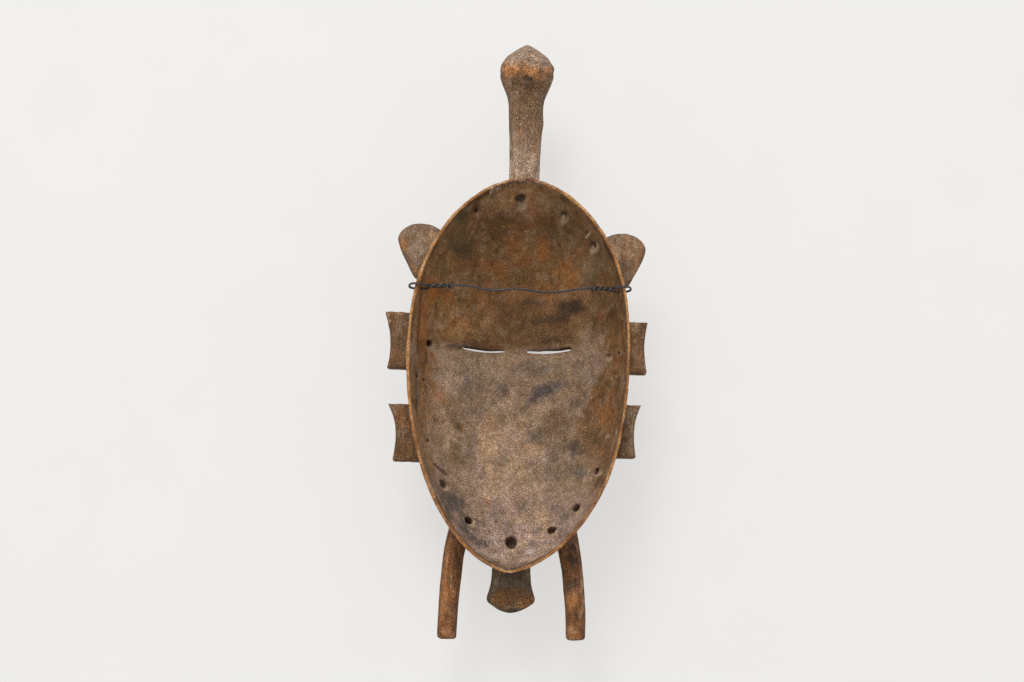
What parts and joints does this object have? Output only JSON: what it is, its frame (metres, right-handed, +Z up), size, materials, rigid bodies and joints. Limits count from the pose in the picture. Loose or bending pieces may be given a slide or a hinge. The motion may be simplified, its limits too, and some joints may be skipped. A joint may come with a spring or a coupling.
{
  "type": "carved face mask",
  "caption": "Hollow carved wooden face mask with side wings, horn lobes, legs and a knobbed stem, lying face down, with a hanging wire across its back.",
  "frame": {"origin": "middle of the whole part's box, on the surface that the face lies on", "axes": "+Z points up out of the hollow, away from the face; +Y runs from the chin to the knob; +X is to the right as the hollow side is looked at"},
  "size_m": [0.1468, 0.3405, 0.0658],
  "materials": {
    "aged_wood": "hand carved, worn dark brown patina with dull sheen",
    "dark_wire": "dull dark steel wire"
  },
  "bodies": {
    "root": {"mask": "aged_wood", "hanging_wire": "dark_wire"}
  },
  "joints": []
}
